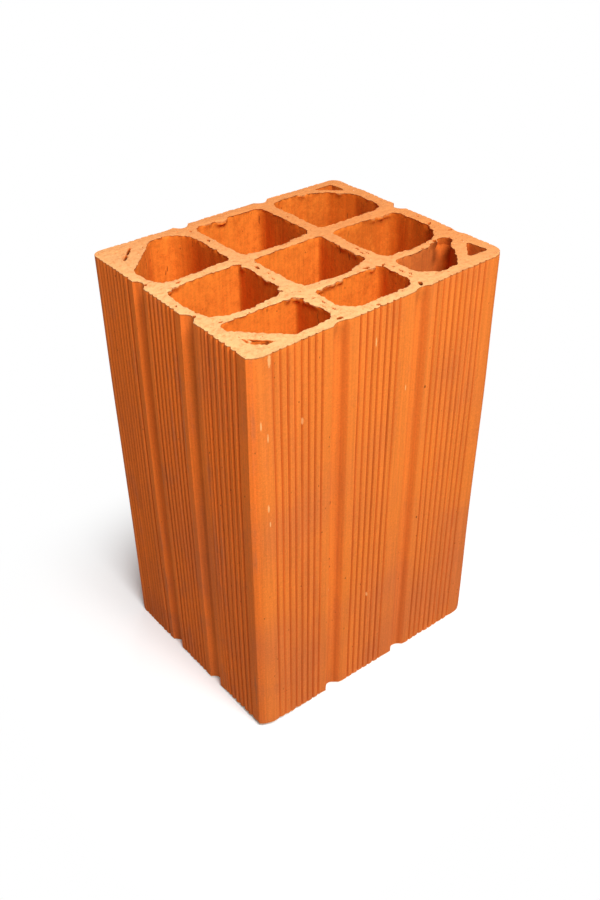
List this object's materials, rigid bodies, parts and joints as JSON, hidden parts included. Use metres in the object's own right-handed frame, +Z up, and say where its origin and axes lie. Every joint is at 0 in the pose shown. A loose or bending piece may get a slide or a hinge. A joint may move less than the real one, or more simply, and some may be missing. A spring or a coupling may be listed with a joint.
{
  "type": "hollow clay brick",
  "caption": "Upright hollow clay brick with a grid of open cells, small corner voids and fluted sides, for walls and partitions.",
  "frame": {"origin": "middle of the lower cut end, on the floor it stands on", "axes": "+Z up along the cells, +X along the wide side to the right, +Y from the front to the back"},
  "size_m": [0.19, 0.155, 0.29],
  "materials": {
    "fired_clay": "matte fired clay"
  },
  "bodies": {
    "root": {"brick": "fired_clay"}
  },
  "joints": []
}
